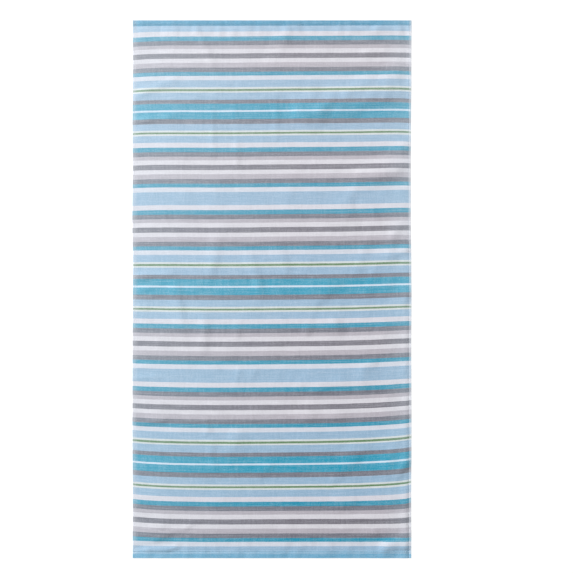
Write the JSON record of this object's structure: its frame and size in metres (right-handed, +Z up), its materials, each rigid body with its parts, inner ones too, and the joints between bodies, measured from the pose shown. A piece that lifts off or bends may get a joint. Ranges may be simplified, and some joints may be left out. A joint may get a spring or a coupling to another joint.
{
  "type": "beach towel",
  "caption": "Rectangular cotton beach towel with crosswise stripes, laid out flat, with narrow turned hems round its edges and a few soft folds.",
  "frame": {"origin": "centre of the towel's box, on the surface that it lies on", "axes": "+X across the towel, +Y along it towards the end with the narrower hem, +Z up from the surface"},
  "size_m": [0.9056, 1.744, 0.0108],
  "materials": {
    "striped_cotton": "matt woven cotton, yarn-dyed in crosswise stripes of white, sky blue, turquoise, greys and a thin green"
  },
  "bodies": {
    "root": {"towel": "striped_cotton"}
  },
  "joints": []
}
